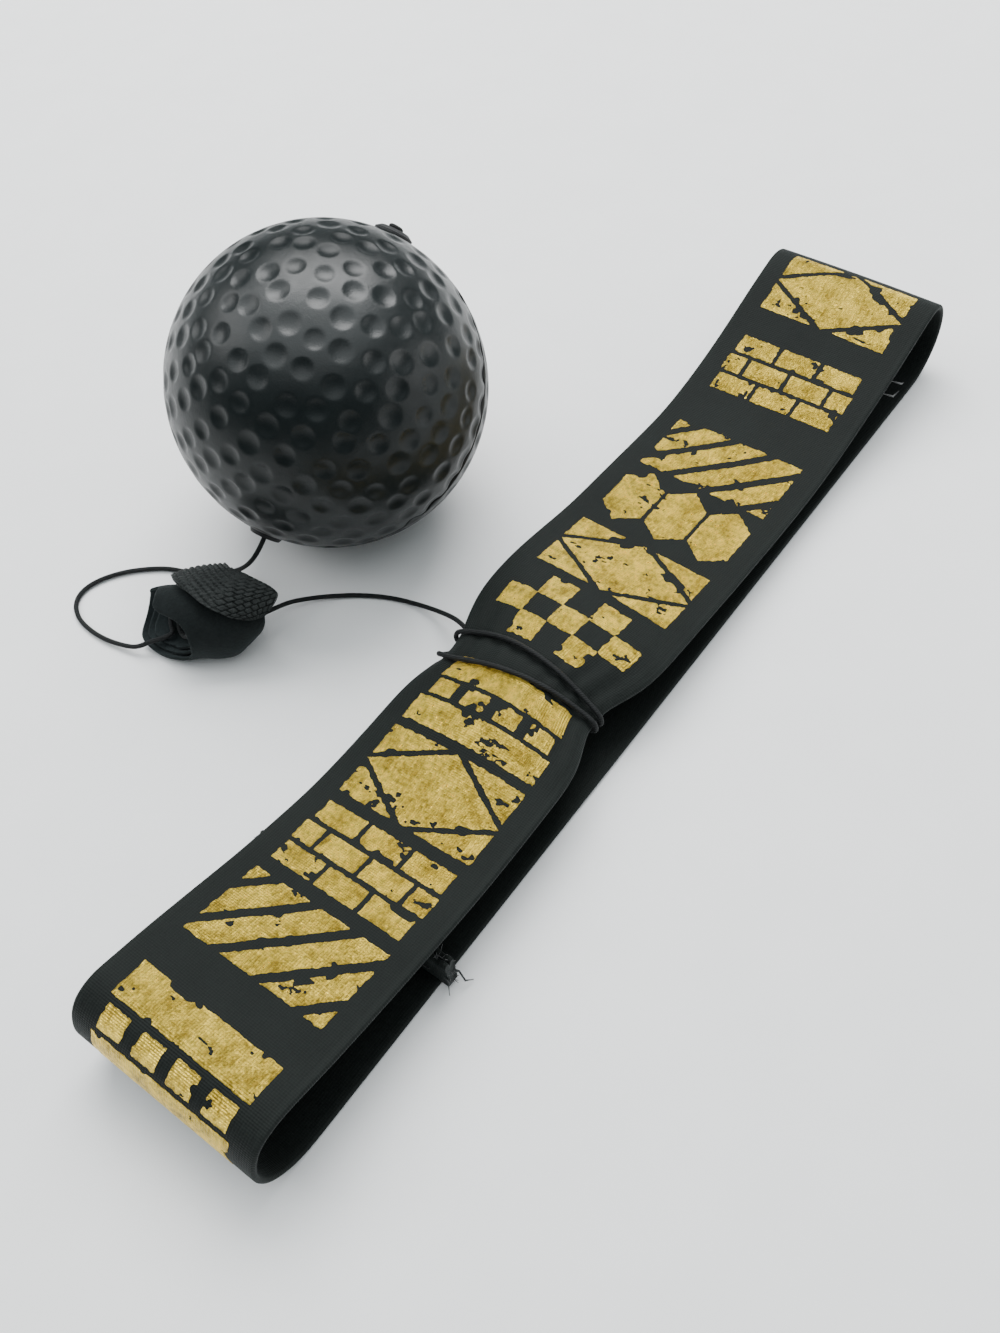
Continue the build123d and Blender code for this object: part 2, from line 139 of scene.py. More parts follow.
# Each of the hitch's two turns goes under the band, up over its right edge, back over
# the crown to its left edge, and down. Heights are the cord's own centre line.
HITCH_TURNS = [
    [
        (-15.2, -25.0, 9.0), (-16.0, -31.0, 11.6), (-16.8, -38.0, 13.1), (-17.3, -46.0, 12.3),
        (-17.6, -52.5, 9.9), (-17.8, -56.6, 8.1), (-17.9, -58.6, 8.9), (-17.7, -58.2, 11.1),
        (-17.3, -55.4, 12.2), (-16.8, -51.0, 13.8), (-16.2, -45.5, 15.6), (-15.6, -39.5, 16.3),
        (-15.2, -33.5, 15.6), (-15.2, -28.0, 13.6), (-15.6, -23.9, 11.5), (-16.1, -21.0, 10.3),
        (-16.6, -20.6, 8.0),
    ],
    [
        (-17.4, -23.6, 7.9), (-18.2, -27.6, 10.3), (-18.8, -33.0, 12.2), (-19.2, -39.0, 13.1),
        (-19.5, -46.0, 12.2), (-19.6, -52.4, 9.9), (-19.6, -56.6, 8.1), (-19.6, -58.6, 8.9),
        (-19.5, -58.2, 11.1), (-19.5, -55.4, 12.2), (-19.8, -51.0, 13.8), (-20.3, -45.5, 15.5),
        (-21.0, -39.5, 16.0), (-21.8, -33.5, 15.3), (-22.4, -28.0, 13.3), (-22.6, -23.9, 11.3),
        (-22.3, -21.0, 10.1), (-21.2, -20.6, 7.9), (-19.4, -22.2, 7.6), (-18.0, -24.2, 8.6),
        (-17.2, -26.4, 9.5),
    ],
]


def hitch_points():
    """Both turns, drawn in at the band's right edge by as much as they pinch it."""
    pinched = 0.8
    drawn = []
    for x, y, z in HITCH_TURNS[0] + HITCH_TURNS[1]:
        drawn.append((x, y if y > -45 else -45 + (y + 45) * pinched, z))
    return drawn


def curve_object(name, points, radius, resolution=6):
    """A round cord along one NURBS spline with these control points, in mm.

    The bevel is one metre and each point's radius scales it, so that the curve's own bounds are true.
    """
    data = bpy.data.curves.new(name, "CURVE")
    data.dimensions = "3D"
    data.bevel_depth = 1.0
    data.bevel_resolution = 3
    data.resolution_u = resolution
    data.use_fill_caps = True
    spline = data.splines.new("NURBS")
    spline.points.add(len(points) - 1)
    for target, point in zip(spline.points, points):
        target.co = (*(float(value) * MM for value in point), 1.0)
        target.radius = radius * MM
    spline.order_u = 3
    spline.use_endpoint_u = True
    return new_object(name, data)


cord_route = lead_points + coil_points() + run_points + hitch_points()
cord = curve_object("elastic_cord", cord_route, CORD_RADIUS)
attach(cord, "root")
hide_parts("cord_lead", "cord_coil", "cord_run", "cord_hitch")


# --- meshes -----------------------------------------------------------------
def mesh_object(name, points, faces, uvs=None, body="root"):
    """A mesh in mm. uvs holds one pair for each face corner, in the faces' order."""
    data = bpy.data.meshes.new(name)
    data.from_pydata([tuple(p) for p in (np.asarray(points, float) * MM)], [], faces)
    if uvs is not None:
        layer = data.uv_layers.new(name="UVMap")
        layer.data.foreach_set("uv", np.asarray(uvs, np.float32).ravel())
    data.validate()
    data.shade_smooth()
    made = new_object(name, data)
    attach(made, body)
    return made


def grid_faces(rows, columns, close_rows=False, close_columns=False, offset=0):
    """Quads over a grid of points, and for each corner its row and column without wrapping."""
    faces, corners = [], []
    for i in range(rows if close_rows else rows - 1):
        for j in range(columns if close_columns else columns - 1):
            quad = [(i, j), (i + 1, j), (i + 1, j + 1), (i, j + 1)]
            faces.append([offset + (a % rows) * columns + b % columns for a, b in quad])
            corners.extend(quad)
    return faces, corners


def smooth_step(value):
    value = np.clip(value, 0.0, 1.0)
    return value * value * (3 - 2 * value)


def bump(value, centre, width):
    return np.exp(-(((value - centre) / width) ** 2))


def hashed(i, j, seed):
    value = np.sin(i * 127.1 + j * 311.7 + seed * 74.7) * 43758.5453
    return value - np.floor(value)


def value_noise(x, y, seed=0):
    """Smooth noise from 0 to 1 over the plane, the same at each run."""
    i, j = np.floor(x), np.floor(y)
    u, v = smooth_step(x - i), smooth_step(y - j)
    low = hashed(i, j, seed) * (1 - u) + hashed(i + 1, j, seed) * u
    high = hashed(i, j + 1, seed) * (1 - u) + hashed(i + 1, j + 1, seed) * u
    return low * (1 - v) + high * v


def layered_noise(x, y, seed=0, layers=4):
    total, weight, size = 0.0, 0.0, 1.0
    for layer in range(layers):
        total = total + size * value_noise(x * 2**layer, y * 2**layer, seed + 17 * layer)
        weight += size
        size *= 0.55
    return total / weight


# --- tape -------------------------------------------------------------------
# The band's outer face along its left and right edges: x, left height, right height.
UPPER_RUN = [
    (-107.6, 19.3, 19.2), (-103.0, 18.5, 18.8), (-95.0, 16.5, 17.3), (-86.0, 14.3, 15.8),
    (-76.0, 11.9, 14.2), (-66.0, 9.9, 12.9), (-57.0, 8.5, 12.2), (-47.0, 8.2, 12.2),
    (-38.0, 8.6, 12.2), (-30.0, 9.2, 11.4), (-23.0, 9.4, 10.4), (-16.0, 9.7, 10.1),
    (-9.0, 11.6, 10.4), (-2.0, 12.7, 10.8), (6.0, 12.5, 10.5), (15.0, 11.2, 9.7), (24.0, 9.7, 8.7),
    (33.0, 8.9, 8.0), (42.0, 8.3, 7.6), (51.0, 7.8, 7.4), (60.0, 7.7, 7.7), (69.0, 8.6, 8.9),
    (78.0, 10.3, 11.0), (87.0, 12.8, 13.4), (95.0, 15.6, 15.9), (103.0, 18.3, 18.4),
    (107.6, 19.2, 19.2),
]
FAR_FOLD = [
    (111.4, 18.0, 18.0), (113.8, 14.6, 14.6), (114.6, 10.2, 10.2), (113.5, 5.7, 5.7),
    (110.6, 2.3, 2.3), (106.4, 0.4, 0.4),
]
LOWER_RUN = [(x, 0.0, 0.0) for x in (101.0, 94.0, 84.0, 72.0, 58.0, 43.0, 28.0, 13.0, -2.0, -17.0, -32.0)]
LOWER_RUN += [(x, 0.0, 0.0) for x in (-46.0, -59.0, -71.0, -82.0, -92.0, -100.5)]
NEAR_FOLD = [(-x, right, left) for x, left, right in reversed(FAR_FOLD)]
profile = np.array(UPPER_RUN + FAR_FOLD + LOWER_RUN + NEAR_FOLD, float)


def closed_curve(values, samples):
    """A smooth closed curve through the values, sampled evenly in its own count."""
    count = len(values)
    system = np.zeros((count, count))
    for i in range(count):
        system[i, i] = 4 / 6
        system[i, (i + 1) % count] = system[i, i - 1] = 1 / 6
    control = np.linalg.solve(system, values)
    place = np.linspace(0, count, samples, endpoint=False)
    index = place.astype(int)
    t = (place - index)[:, None]
    parts = [control[(index + k) % count] for k in (-1, 0, 1, 2)]
    return (
        (1 - t) ** 3 * parts[0]
        + (3 * t**3 - 6 * t**2 + 4) * parts[1]
        + (-3 * t**3 + 3 * t**2 + 3 * t + 1) * parts[2]
        + t**3 * parts[3]
    ) / 6


loop = closed_curve(profile, 6000)
loop = np.vstack([loop, loop[:1]])
mid_heights = (loop[:, 1] + loop[:, 2]) / 2
loop_s = np.concatenate([[0], np.cumsum(np.hypot(np.diff(loop[:, 0]), np.diff(mid_heights)))])
LOOP_LENGTH = loop_s[-1]
upper_end = int(6000 * len(UPPER_RUN) / len(profile))


def station(x):
    """The distance along the loop at which its upper run passes this x."""
    return float(np.interp(x, loop[:upper_end, 0], loop_s[:upper_end]))


def face_point(s, v):
    """The band's outer face at s mm along the loop and v mm across it, towards the ball."""
    s = np.mod(s, LOOP_LENGTH)
    x = np.interp(s, loop_s, loop[:, 0])
    left = np.interp(s, loop_s, loop[:, 1])
    right = np.interp(s, loop_s, loop[:, 2])
    upper = smooth_step((left + right - 9.0) / 5.0)
    share = v / TAPE_HALF
    edge = np.maximum(left * (1 + share) / 2 + right * (1 - share) / 2, 0.0)
    arch = np.clip(1 - share**2, 0, 1)
    crown = 5.5 * bump(x, HITCH_X - 0.5, 19.0) * arch**1.1 + 0.25 * arch
    pucker = 0.34 * bump(x, HITCH_X, 13.0) * np.sin(v * 1.25 + 0.05 * x) * (0.35 + 0.65 * np.abs(share))
    ripple = 0.22 * np.sin(x / 17 + 1.3) * share + 0.12 * np.sin(x / 7.3 + v / 9)
    for near_x, far_x in ((-15.3, -17.4), (-22.2, -19.6)):
        strand = near_x + (far_x - near_x) * (1 - share) / 2
        pucker = pucker - 0.4 * bump(x, strand, 1.3)
    z = edge + upper * (crown + pucker + ripple * smooth_step((109 - np.abs(x)) / 14))
    left_waist = 2.2 * bump(x, HITCH_X - 1.5, 8.0)
    right_waist = 4.3 * bump(x, HITCH_X - 0.5, 9.0)
    waist = np.where(v > 0, left_waist, right_waist) * upper
    y = TAPE_Y + v * (1 - waist / TAPE_HALF)
    return np.stack([x, y, z], axis=-1)


def tape_point(s, v, height):
    """A point that stands this far off the band's outer face."""
    step = 0.15
    along = face_point(s + step, v) - face_point(s - step, v)
    inner = np.clip(v, step - TAPE_HALF, TAPE_HALF - step)
    across = face_point(s, inner + step) - face_point(s, inner - step)
    normal = np.cross(along, across)
    normal /= np.linalg.norm(normal, axis=-1, keepdims=True)
    return face_point(s, v) + normal * np.asarray(height)[..., None]


def tape_section():
    """The tape's cross-section as a closed line of (across, height), with rounded selvages."""
    edge = TAPE_THICKNESS / 2
    flat = np.linspace(-TAPE_HALF + edge, TAPE_HALF - edge, 49)
    turn = np.radians(np.linspace(75, -75, 6))
    right = [(TAPE_HALF - edge + edge * math.cos(t), -edge + edge * math.sin(t)) for t in turn]
    section = [(v, 0.0) for v in flat] + right
    section += [(-v, -TAPE_THICKNESS) for v in flat] + [(-v, -TAPE_THICKNESS - h) for v, h in right]
    return np.array(section)


def make_tape():
    section = tape_section()
    seam = float(np.interp(-FIN_X, -loop[upper_end + 400 : 5600, 0], loop_s[upper_end + 400 : 5600]))
    rings = 940
    s = seam + np.arange(rings) * LOOP_LENGTH / rings
    s_grid, v_grid = np.repeat(s, len(section)), np.tile(section[:, 0], rings)
    points = tape_point(s_grid, v_grid, np.tile(section[:, 1], rings))
    points[:, 2] = np.maximum(points[:, 2], 0.0)
    faces, corners = grid_faces(rings, len(section), True, True)
    reach = np.concatenate([section[:, 0], section[:1, 0]])
    uvs = [(i * LOOP_LENGTH / rings, reach[j]) for i, j in corners]
    made = mesh_object("headband_tape_woven", points, faces, uvs)
    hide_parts("headband_tape")
    return made


tape = make_tape()

# --- gold foil --------------------------------------------------------------
HALF_BLOCK = 8.2
HALF_SPREAD = 15.0
FOIL_HEIGHT = 0.07
FOOT = 2.0  # marks a point at the foot of the foil's turned-down rim


def cells(s, v, middles, half_s, half_v):
    """Separate rectangles round these (s, v) middles."""
    rows = [np.minimum(half_s - np.abs(s - a), half_v - np.abs(v - b)) for a, b in middles]
    return np.max(rows, axis=0)


def planks(s, v, half):
    """Two planks across the band with four squares between them."""
    width = 0.34 * half
    long_ones = cells(s, v, [(width - half, 0), (half - width, 0)], width, HALF_SPREAD)
    squares = cells(s, v, [(0, -11.4), (0, -3.8), (0, 3.8), (0, 11.4)], half * 0.21, 2.6)
    return np.maximum(long_ones, squares)


def stripes(s, v, half):
    """Broad stripes on a slant, trimmed to the block."""
    pitch = 6.4
    across = np.mod((s + v) / math.sqrt(2), pitch)
    frame_edge = np.minimum(half - np.abs(s), HALF_SPREAD - np.abs(v))
    return np.minimum(frame_edge, pitch / 2 - 0.9 - np.abs(across - pitch / 2))


def argyle(s, v, half):
    """A rhombus with a corner triangle at each of its four sides."""
    spread = np.abs(s) / half + np.abs(v) / HALF_SPREAD - 1
    scale = half * HALF_SPREAD / math.hypot(half, HALF_SPREAD)
    frame_edge = np.minimum(half - np.abs(s), HALF_SPREAD - np.abs(v))
    return np.maximum(-spread * scale, np.minimum(spread * scale - 1.1, frame_edge))


def bricks(s, v, half):
    """Three courses of bricks, the middle one set half a brick along."""
    joint = 1.0
    course, brick = 2 * half / 3, 2 * HALF_SPREAD / 3
    row = np.clip(np.floor((s + half) / course), 0, 2)
    along = np.abs(s + half - (row + 0.5) * course)
    across = np.abs(np.mod(v + HALF_SPREAD + (row == 1) * brick / 2, brick) - brick / 2)
    inner = np.minimum((course - joint) / 2 - along, (brick - joint) / 2 - across)
    return np.minimum(inner, np.minimum(half - np.abs(s), HALF_SPREAD - np.abs(v)))


def hexagons(s, v, half):
    """Three long hexagons side by side."""
    width, shoulder = 4.7, half - 3.6
    rows = []
    for row in (-1, 0, 1):
        across = np.abs(v - row * (HALF_SPREAD - width))
        slope = (half - np.abs(s)) - across * (half - shoulder) / width
        rows.append(np.minimum(width - across, slope * 0.79))
    return np.max(rows, axis=0)


def checks(s, v, half):
    """Three columns of checks, each offset from the next."""
    long, wide = 2 * half / 3, 2 * HALF_SPREAD / 5
    spots = [(i, j) for i in (-1, 0, 1) for j in (-2, -1, 0, 1, 2) if (i + j) % 2 == 0]
    return cells(s, v, [(i * long, j * wide) for i, j in spots], long / 2 + 0.1, wide / 2 + 0.1)


FILM_BLOCKS = [
    (-109.5, planks, 10.6),
    (-84.5, stripes, HALF_BLOCK),
    (-66.0, bricks, HALF_BLOCK),
    (-47.6, argyle, HALF_BLOCK),
    (-29.2, planks, HALF_BLOCK),
    (-5.0, checks, HALF_BLOCK),
    (14.0, argyle, HALF_BLOCK),
    (33.5, hexagons, HALF_BLOCK),
    (51.5, stripes, HALF_BLOCK),
    (78.5, bricks, HALF_BLOCK),
    (101.0, argyle, HALF_BLOCK),
]


def wear_field(s, v, seed):
    """How much foil is left: below zero in the worn spots, and a little ragged at every edge."""
    patches = layered_noise(s * 0.16, v * 0.16, seed, 3)
    holes = layered_noise(s * 0.62 + 3.1, v * 0.42, seed + 5, 4)
    limit = 0.80 - 0.15 * smooth_step((patches - 0.5) / 0.2)
    return (limit - holes) * 5.5


def film_mesh(name, centre, shape, half, seed):
    """One block of foil: its outline cut from a fine grid, its rim turned down to the weave."""
    pitch = 0.2
    us = np.arange(-half - 0.6, half + 0.6 + pitch, pitch)
    vs = np.arange(-HALF_SPREAD - 0.6, HALF_SPREAD + 0.6 + pitch, pitch)
    grid_u, grid_v = np.meshgrid(us, vs, indexing="ij")
    nibble = (layered_noise(grid_u * 1.1, grid_v * 1.1, seed + 40, 3) - 0.53) * 0.5
    bite = layered_noise(grid_u * 0.3 + 9, grid_v * 0.3, seed + 60, 2)
    nibble = nibble - 1.1 * smooth_step((bite - 0.7) / 0.1)
    field = shape(grid_u, grid_v, half) + nibble
    field = np.minimum(field, wear_field(grid_u, grid_v, seed))
    field = np.where(np.abs(field) < 1e-4, 1e-4, field)
    points, faces, corners, cuts = [], [], {}, {}

    def corner(i, j):
        if (i, j) not in corners:
            corners[i, j] = len(points)
            points.append((us[i], vs[j], 0.0))
        return corners[i, j]

    def cut(a, b):
        key = (min(a, b), max(a, b))
        if key not in cuts:
            low, high = field[key[0]], field[key[1]]
            t = low / (low - high)
            u = us[key[0][0]] * (1 - t) + us[key[1][0]] * t
            v = vs[key[0][1]] * (1 - t) + vs[key[1][1]] * t
            cuts[key] = len(points)
            points.append((u, v, 0.0))
        return cuts[key]

    rims = []
    inside = field > 0
    for i in range(len(us) - 1):
        for j in range(len(vs) - 1):
            ring = [(i, j), (i + 1, j), (i + 1, j + 1), (i, j + 1)]
            state = [inside[c] for c in ring]
            if not any(state):
                continue
            if all(state):
                faces.append([corner(*c) for c in ring])
                continue
            polygon, marks = [], []
            for k in range(4):
                a, b = ring[k], ring[(k + 1) % 4]
                if state[k]:
                    polygon.append(corner(*a))
                    marks.append(False)
                if state[k] != state[(k + 1) % 4]:
                    polygon.append(cut(a, b))
                    marks.append(True)
            if len(polygon) > 2:
                faces.append(polygon)
                for k, mark in enumerate(marks):
                    following = (k + 1) % len(marks)
                    if mark and marks[following]:
                        rims.append((polygon[k], polygon[following]))
    flat = np.array(points)
    lower = {}
    for a, b in rims:
        for index in (a, b):
            if index not in lower:
                lower[index] = len(points)
                points.append((flat[index, 0], flat[index, 1], FOOT))
        faces.append([b, a, lower[a], lower[b]])
    flat = np.array(points)
    s, v = flat[:, 0] + centre, flat[:, 1]
    crease = (layered_noise(flat[:, 0] * 0.9, flat[:, 1] * 0.9, seed + 80, 3) - 0.5) * 0.05
    height = np.where(flat[:, 2] == FOOT, -0.03, FOIL_HEIGHT + crease)
    places = tape_point(s, v, height)
    uvs = [(s[index], v[index]) for face in faces for index in face]
    return mesh_object(name, places, faces, uvs)


films = []
for number, (block_x, shape, half) in enumerate(FILM_BLOCKS, start=1):
    centre = station(block_x) if number > 1 else -3.4 + station(-107.6)
    film = film_mesh(f"gold_foil_{number:02d}", centre, shape, half, number * 3.7)
    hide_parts(f"gold_film_{number:02d}")
    films.append(film)


# --- ball -------------------------------------------------------------------
def dimple_centres():
    """Directions spread evenly over the ball in winding rows, each moved a little."""
    count, centres = 396, []
    wander = random.Random(21)
    for i in range(count):
        z = 1 - 2 * (i + 0.5) / count
        turn = math.pi * (1 + 5**0.5) * i
        flat = math.sqrt(1 - z * z)
        centre = np.array((flat * math.cos(turn), flat * math.sin(turn), z))
        centre += np.array([wander.gauss(0, 0.013) for _ in range(3)])
        centres.append(centre / np.linalg.norm(centre))
    return np.array(centres)


dimples = dimple_centres()
dimple_sizes = np.array([rng.uniform(2.05, 2.35) for _ in dimples])


def dimple_depth(directions):
    """How deep the moulded dimples are in these directions, in mm."""
    depth = np.zeros(len(directions))
    for start in range(0, len(directions), 8000):
        part = directions[start : start + 8000]
        gap = np.sqrt(np.maximum(2 - 2 * part @ dimples.T, 0)) * BALL_RADIUS
        nearest = np.argmin(gap, axis=1)
        share = gap[np.arange(len(part)), nearest] / dimple_sizes[nearest]
        depth[start : start + 8000] = 0.5 * np.log1p(np.exp(10 * (1 - share**2))) / 10
    poles = np.abs(directions @ bore_dir)
    reach = np.degrees(np.arccos(np.clip(poles, -1, 1)))
    return depth * smooth_step((reach - 7.0) / 3.0)


def make_ball_half(name, node, side):
    """A moulded half shell, with dimples outside, a flat seam face and a smooth inside."""
    columns, rings, inner_rings = 540, 132, 24
    groove = 0.42
    turns = np.radians(np.arange(columns) * 360 / columns)
    rim = 90.0 - math.degrees(groove / BALL_RADIUS)
    outer = np.radians(np.linspace(0.15, rim, rings))
    rows = [(angle, BALL_RADIUS, True) for angle in outer]
    rows.append((math.radians(90.0 - math.degrees(0.03 / BALL_RADIUS)), BALL_RADIUS - 0.6, False))
    inner = BALL_RADIUS - 4.5
    rows += [(math.radians(a), inner, False) for a in np.linspace(89.95, 0.3, inner_rings)]
    points = []
    for angle, radius, dimpled in rows:
        flat = np.outer(np.cos(turns), bore_dir) + np.outer(np.sin(turns), seam_side)
        direction = flat * math.sin(angle) + side * seam_normal * math.cos(angle)
        reach = radius - dimple_depth(direction) * dimpled
        points.append(BALL_CENTRE + direction * np.reshape(reach, (-1, 1)))
    points = np.vstack(points)
    faces, _ = grid_faces(len(rows), columns, False, True)
    faces.append(list(range(columns)))
    last = (len(rows) - 1) * columns
    faces.append([last + k for k in range(columns)][::-1])
    if side < 0:
        faces = [face[::-1] for face in faces]
    made = mesh_object(name, points, faces, body="ball")
    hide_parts(node)
    return made


ball_halves = [
    make_ball_half("ball_dimpled_front", "ball_front_half", 1),
    make_ball_half("ball_dimpled_rear", "ball_rear_half", -1),
]


# --- knots ------------------------------------------------------------------
def hitch_knot_points():
    """The cord wound round its own end under the band, then a short cut tail."""
    start, away = Vector((-17.0, -25.0, 9.4)), Vector((0, -1, 0))
    turns, radius, pitch, tail = 2.9, 0.95, 1.12, 2.2
    first = away.orthogonal().normalized()
    second = away.cross(first)
    points = []
    for step in range(int(turns * 10) + 1):
        angle = 2 * math.pi * step / 10
        ring = first * math.cos(angle) + second * math.sin(angle)
        points.append(start + away * (0.5 + pitch * step / 10) + ring * radius)
    end = points[-1]
    return points + [end + away * 0.9 - first * radius * 0.6, end + away * tail - first * radius * 0.4]


def end_knot_points():
    """The cord's end, wound once and tucked down flat on the washer."""
    points = []
    for step in range(15):
        angle = 2 * math.pi * step / 10
        size = 0.35 + 0.75 * min(step / 5, 1.0)
        ring = seam_normal * math.cos(angle) + seam_side * math.sin(angle)
        points.append(BALL_CENTRE + bore_dir * (33.65 + 0.03 * step) + ring * size)
    return points


hitch_knot = curve_object("hitch_knot_wound", hitch_knot_points(), CORD_RADIUS, resolution=8)
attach(hitch_knot, "root")
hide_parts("hitch_knot")
end_knot = curve_object("ball_end_knot_wound", end_knot_points(), CORD_RADIUS, resolution=8)
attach(end_knot, "root")
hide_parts("ball_end_knot")


# --- keeper -----------------------------------------------------------------
# How far along the keeper its mouth's lip lies, by degrees up from the keeper's far side.
MOUTH_ANGLES = (-105, -94, -78, -58, -24, 10, 36, 60, 80, 96)
MOUTH_ANGLES += (106, 116, 129, 143, 160, 183, 205, 222, 238, 255)
MOUTH_LIPS = (-2.2, -3.2, -4.6, -4.5, -2.6, -0.6, 0.7, 1.1, 1.2, 1.0)
MOUTH_LIPS += (0.7, 2.4, 5.4, 6.9, 7.5, 7.3, 6.6, 3.4, 0.0, -2.2)
BELLY_PLACES = (-2.5, 2.2, 5.5, 11.0, 16.0, 20.0, 23.0)
BELLY_DEPTHS = (0.0, 0.3, 1.2, 1.6, 1.5, 0.7, 0.0)


def make_roll():
    """The strap's body: loop pile wound round the spare cord and curled in a little at its mouth."""
    turns, per_turn, columns = 2.75, 120, 64
    thickness, spacing = 0.8, 0.92
    rows = int(turns * per_turn) + 1
    angle = np.linspace(16 - 360 * turns, 16, rows)
    wound = np.linspace(0, turns, rows)
    radius = 7.45 - spacing * (turns - wound) + 0.07 * np.sin(np.radians(angle * 3 + 40))
    lips = np.interp(np.mod(angle + 105, 360) - 105, MOUTH_ANGLES, MOUTH_LIPS)
    lips = np.convolve(np.pad(lips, 4, "edge"), np.ones(9) / 9, "valid")
    share = (1 - np.cos(np.linspace(0, math.pi / 2, columns))) ** 0.9
    edge = thickness / 2
    turn = np.radians(np.linspace(80, -80, 7))
    outline = [(t, edge) for t in share] + [(1.0, edge * math.sin(t)) for t in turn[1:-1]]
    outline += [(t, -edge) for t in share[::-1]] + [(0.0, -edge * math.sin(t)) for t in turn[1:-1]]
    bulge = [0.0] * columns + [edge * math.cos(t) for t in turn[1:-1]]
    bulge += [0.0] * columns + [-edge * math.cos(t) for t in turn[1:-1]]
    points, uv_rows = [], []
    for a, r, w, mouth in zip(angle, radius, wound, lips):
        recess = turns - w
        toward = max(0.0, math.cos(math.radians(a - 150))) ** 0.5
        lip = mouth + (1.45 - 1.0 * toward) * recess + 0.12 * math.sin(math.radians(3 * a + 60 * w))
        facing = max(0.0, math.cos(math.radians(a - 140)))
        end = 18.0 + 4.6 * facing + 0.35 * math.sin(math.radians(2 * a + 40)) - 0.5 * recess
        belly = max(0.0, math.cos(math.radians(a - 210))) ** 1.3 * (1 - 0.25 * recess)
        for (t, h), extra in zip(outline, bulge):
            along = lip + (end - lip) * t + extra
            near = min(max((1.0 - along) / 5.6, 0.0), 1.0)
            curl = 1 - 0.16 * near * near
            tail = 1 - 0.26 * max(0.0, (along - end + 5.5) / 5.5) ** 2.2
            swell = 0.25 * math.sin(0.55 * along + 0.5) * math.sin(math.radians(a * 2 + 30))
            reach = (r + swell + belly * float(np.interp(along, BELLY_PLACES, BELLY_DEPTHS))) + h
            points.append(keeper_point(along, a, reach * curl * tail))
            uv_rows.append((a / 360 * 42, along + (100 if h < 0 else 0)))
    points = np.array(points)
    low = points[:, 2]
    points[:, 2] = np.where(low < 0.9, 0.9 - 0.9 * np.tanh((0.9 - low) / 0.9), low)
    count = len(outline)
    faces, corners = grid_faces(rows, count, False, True)
    uvs = [uv_rows[i * count + j % count] for i, j in corners]
    for end in (0, rows - 1):
        cap = [end * count + k for k in range(count)]
        faces.append(cap if end == 0 else cap[::-1])
        uvs += [uv_rows[index] for index in faces[-1]]
    made = mesh_object("keeper_strap_roll", points, faces, uvs)
    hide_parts("keeper_strap")
    return made


# The hook tab's middle face: rows from its sewn root to its free edge, each from the
# mouth's side to the other, as (along, angle, radius) in the keeper's own terms.
TAB_ROWS = [
    [(5.2, 16, 8.2), (8.0, 16, 8.2), (12.0, 16, 8.2), (15.0, 16, 8.2)],
    [(4.6, 38, 8.5), (7.9, 40, 9.2), (11.6, 38, 9.4), (15.4, 37, 9.2)],
    [(5.5, 62, 8.6), (9.5, 64, 9.2), (13.5, 65, 9.4), (17.4, 68, 9.2)],
    [(6.9, 80, 8.6), (11.0, 80, 9.1), (15.2, 82, 9.3), (20.2, 84, 9.2)],
    [(8.8, 95, 8.6), (13.0, 95, 9.0), (17.2, 96, 9.2), (22.7, 96, 9.1)],
    [(11.5, 115, 8.7), (15.6, 112, 9.0), (19.8, 110, 9.1), (25.3, 108, 9.1)],
    [(14.8, 130, 8.7), (18.0, 126, 8.8), (21.4, 121, 8.9), (26.3, 116, 9.0)],
    [(17.4, 139, 8.6), (19.8, 137, 8.6), (22.2, 133, 8.7), (25.2, 129, 8.8)],
    [(20.0, 144, 8.6), (21.0, 144, 8.6), (22.0, 143, 8.6), (23.0, 142, 8.6)],
]


def open_curve(values, samples):
    """A smooth curve through a row of values, ends included."""
    values = np.asarray(values, float)
    padded = np.vstack([2 * values[:1] - values[1:2], values, 2 * values[-1:] - values[-2:-1]])
    place = np.linspace(0, len(values) - 1, samples)
    index = np.minimum(place.astype(int), len(values) - 2)
    t = (place - index)[:, None]
    a, b, c, d = (padded[index + k] for k in range(4))
    return 0.5 * (2 * b + (c - a) * t + (2 * a - 5 * b + 4 * c - d) * t**2 + (3 * b - a - 3 * c + d) * t**3)


